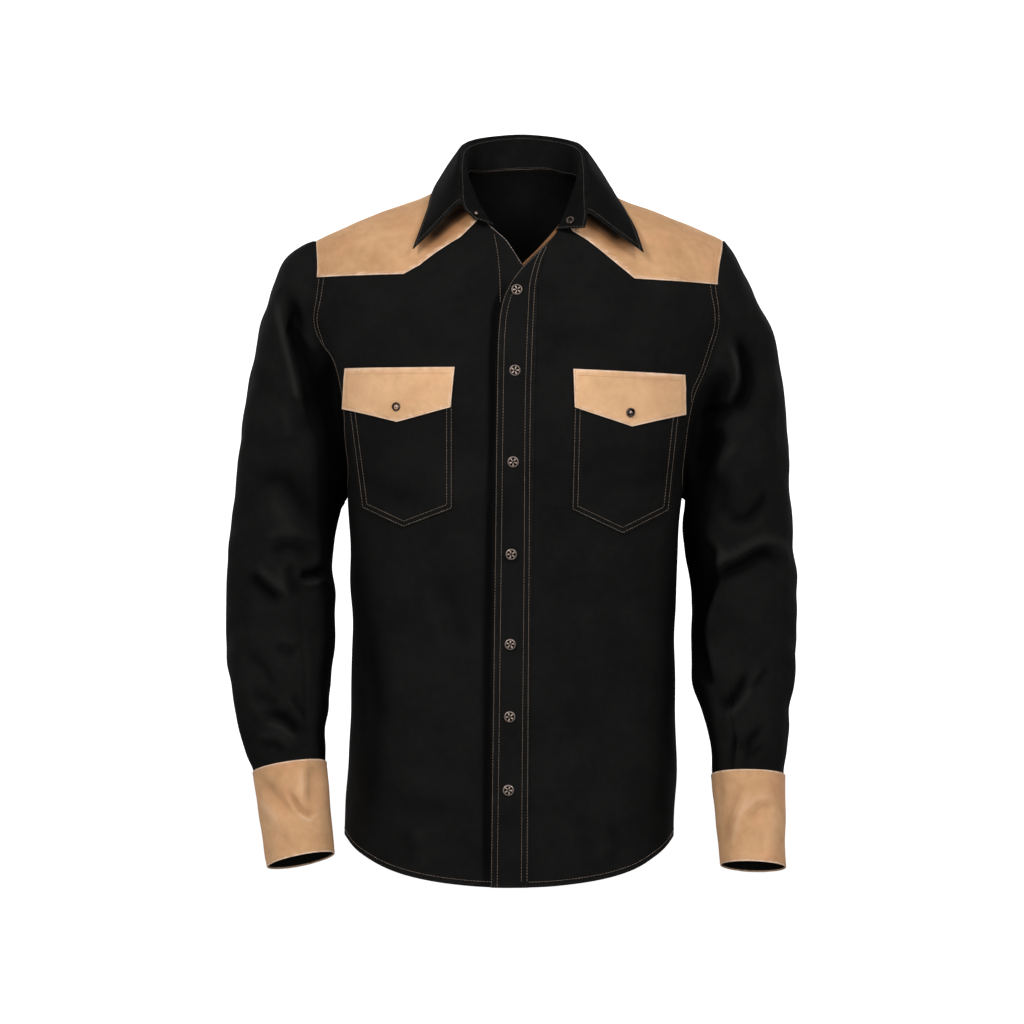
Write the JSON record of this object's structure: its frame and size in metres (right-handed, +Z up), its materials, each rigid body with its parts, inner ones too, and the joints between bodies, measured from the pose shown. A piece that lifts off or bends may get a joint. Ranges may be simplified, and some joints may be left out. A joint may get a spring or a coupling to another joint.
{
  "type": "flame-resistant work shirt",
  "caption": "Long-sleeved western-style work shirt with a turn-down collar, contrast yokes, pocket flaps and cuffs, and a snap front, held open in its worn shape.",
  "frame": {"origin": "middle of the neck opening, level with the top of the shoulders, where a wearer or a form carries the shirt", "axes": "+Z up along the trunk, -Y towards the front, +X towards the wearer's left"},
  "size_m": [0.6216, 0.2372, 0.8168],
  "materials": {
    "cloth_black": "black twill, matt with a faint sheen",
    "cloth_tan": "tan twill, matt",
    "snap_copper": "antique copper"
  },
  "bodies": {
    "root": {"back_panel": "cloth_black", "back_yoke": "cloth_tan", "collar_leaf": "cloth_black", "collar_stand": "cloth_black", "cuff_left": "cloth_tan", "cuff_lining_left": "cloth_black", "cuff_lining_right": "cloth_black", "cuff_right": "cloth_tan", "flap_left": "cloth_tan", "flap_right": "cloth_tan", "front_left": "cloth_black", "front_right": "cloth_black", "front_yoke_left": "cloth_tan", "front_yoke_right": "cloth_tan", "neck_socket": "snap_copper", "neck_stud": "snap_copper", "placket": "cloth_black", "placket_facing": "cloth_tan", "pocket_left": "cloth_black", "pocket_right": "cloth_black", "sleeve_left": "cloth_black", "sleeve_placket_left": "cloth_black", "sleeve_placket_right": "cloth_black", "sleeve_right": "cloth_black", "snap_cuff_left_1": "snap_copper", "snap_cuff_left_2": "snap_copper", "snap_cuff_right_1": "snap_copper", "snap_cuff_right_2": "snap_copper", "snap_flap_left": "snap_copper", "snap_flap_right": "snap_copper", "snap_front_1": "snap_copper", "snap_front_2": "snap_copper", "snap_front_3": "snap_copper", "snap_front_4": "snap_copper", "snap_front_5": "snap_copper", "snap_front_6": "snap_copper", "snap_front_7": "snap_copper"}
  },
  "joints": []
}
